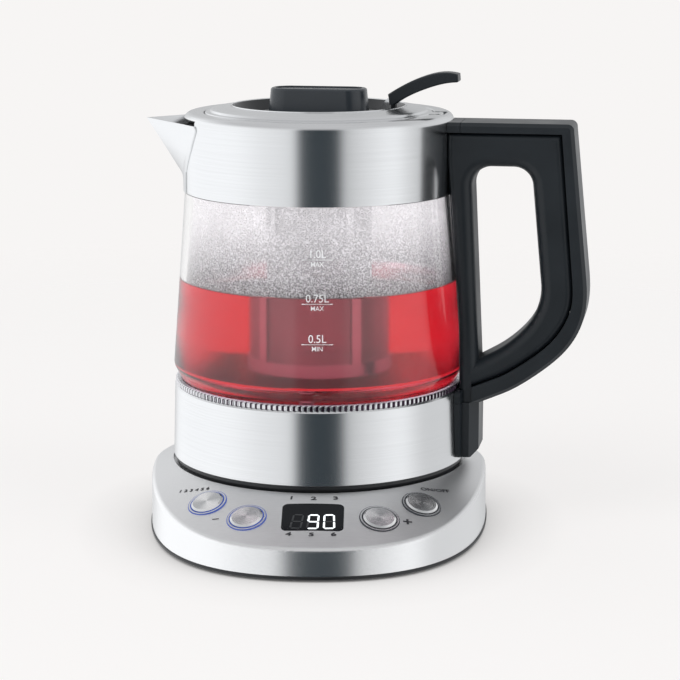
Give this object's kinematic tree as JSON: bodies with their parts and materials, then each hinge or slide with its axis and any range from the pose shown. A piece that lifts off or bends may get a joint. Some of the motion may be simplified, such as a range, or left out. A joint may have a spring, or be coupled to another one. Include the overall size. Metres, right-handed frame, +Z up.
{
  "type": "electric tea maker",
  "caption": "Glass tea maker on a round cordless base: steel bands, hinged lid with a lift-out filter basket, black D handle, display and push buttons.",
  "frame": {"origin": "on the table, under the centre of the jug", "axes": "+Z up, -Y towards the user (the side with the buttons and display), +X to the user's right; the jug's handle points to +X, turned 9 degrees towards the user"},
  "size_m": [0.2106, 0.186, 0.2147],
  "materials": {
    "base_steel": "brushed",
    "base_black": "fine matte",
    "contact_brass": "plain",
    "board_parts": "plain",
    "board_green": "lacquered",
    "plain_ring": "satin, unlit",
    "button_metal": "spun",
    "display_black": "glossy window",
    "foot_rubber": "matte",
    "screw_steel": "plated",
    "jug_black": "satin",
    "jug_steel": "brushed round the jug",
    "trim_chrome": "polished",
    "jug_glass": "clear",
    "silicone": "soft",
    "heater_steel": "fine",
    "heater_aluminium": "cast",
    "handle_black": "satin",
    "grip_black": "soft touch",
    "knob_black": "satin",
    "mesh_steel": "fine woven mesh",
    "lit_ring": "translucent, lit"
  },
  "bodies": {
    "power_base": {"base_shell": "base_steel", "base_plate": "base_black", "base_chassis": "base_black", "power_socket": "base_black", "socket_contacts": "contact_brass", "panel_frame": "base_black", "button_switches": "board_parts", "program_light_ring": "lit_ring", "minus_light_ring": "lit_ring", "plus_light_ring": "plain_ring", "power_light_ring": "plain_ring", "display_window": "display_black", "display_module": "board_parts", "control_board": "board_green", "power_relay": "board_parts", "base_feet": "foot_rubber", "base_screws": "screw_steel", "cord_gland": "foot_rubber"},
    "program_button": {"program_button": "button_metal"},
    "minus_button": {"minus_button": "button_metal"},
    "plus_button": {"plus_button": "button_metal"},
    "power_button": {"power_button": "button_metal"},
    "jug_plug": {"jug_plug": "base_black"},
    "jug": {"jug_foot": "jug_black", "lower_band": "jug_steel", "toothed_trim_ring": "trim_chrome", "glass_jug": "jug_glass", "floor_gasket": "silicone", "heater_plate": "heater_steel", "heat_spreader": "heater_aluminium", "heating_element": "heater_steel", "temperature_sensor": "heater_steel", "safety_cutout": "jug_black", "upper_collar": "jug_steel", "mouth_seat": "jug_steel", "collar_gasket": "silicone", "pouring_spout": "jug_steel", "hinge_bracket": "screw_steel", "hinge_pin": "screw_steel", "handle_frame": "handle_black", "handle_grip": "grip_black", "strap_cover": "handle_black", "handle_screws": "screw_steel", "hinge_cap": "handle_black"},
    "lid": {"lid_ring": "jug_steel", "dish_bezel": "trim_chrome", "lid_dish": "jug_black", "lid_liner": "jug_black", "lid_seal": "silicone", "lid_lever": "handle_black", "lever_bracket": "trim_chrome"},
    "tea_filter": {"filter_cap": "jug_black", "filter_knob": "knob_black", "basket_frame": "mesh_steel", "basket_mesh": "mesh_steel", "basket_bottom": "mesh_steel"}
  },
  "joints": [
    {"name": "jug_lift", "type": "slide", "parent": "power_base", "child": "jug_plug", "axis": [0, 0, 1], "range_m": [0, 0.08]},
    {"name": "jug_spin", "type": "hinge", "parent": "jug_plug", "child": "jug", "pos_m": [0, 0, 0.035], "axis": [0, 0, 1], "continuous": true},
    {"name": "lid_tilt", "type": "hinge", "parent": "jug", "child": "lid", "pos_m": [0.0563, -0.00892, 0.1935], "axis": [0.1564, 0.9877, 0], "range_deg": [0, 20]},
    {"name": "filter_lift", "type": "slide", "parent": "lid", "child": "tea_filter", "axis": [0, 0, 1], "range_m": [0, 0.14]},
    {"name": "program_press", "type": "slide", "parent": "power_base", "child": "program_button", "axis": [0.2183, 0.3084, -0.9259], "range_m": [0, 0.0008], "stiffness_N_per_m": 500},
    {"name": "minus_press", "type": "slide", "parent": "power_base", "child": "minus_button", "axis": [0.1255, 0.3564, -0.9259], "range_m": [0, 0.0008], "stiffness_N_per_m": 500},
    {"name": "plus_press", "type": "slide", "parent": "power_base", "child": "plus_button", "axis": [-0.1255, 0.3564, -0.9259], "range_m": [0, 0.0008], "stiffness_N_per_m": 500},
    {"name": "power_press", "type": "slide", "parent": "power_base", "child": "power_button", "axis": [-0.2183, 0.3084, -0.9259], "range_m": [0, 0.0008], "stiffness_N_per_m": 500}
  ]
}
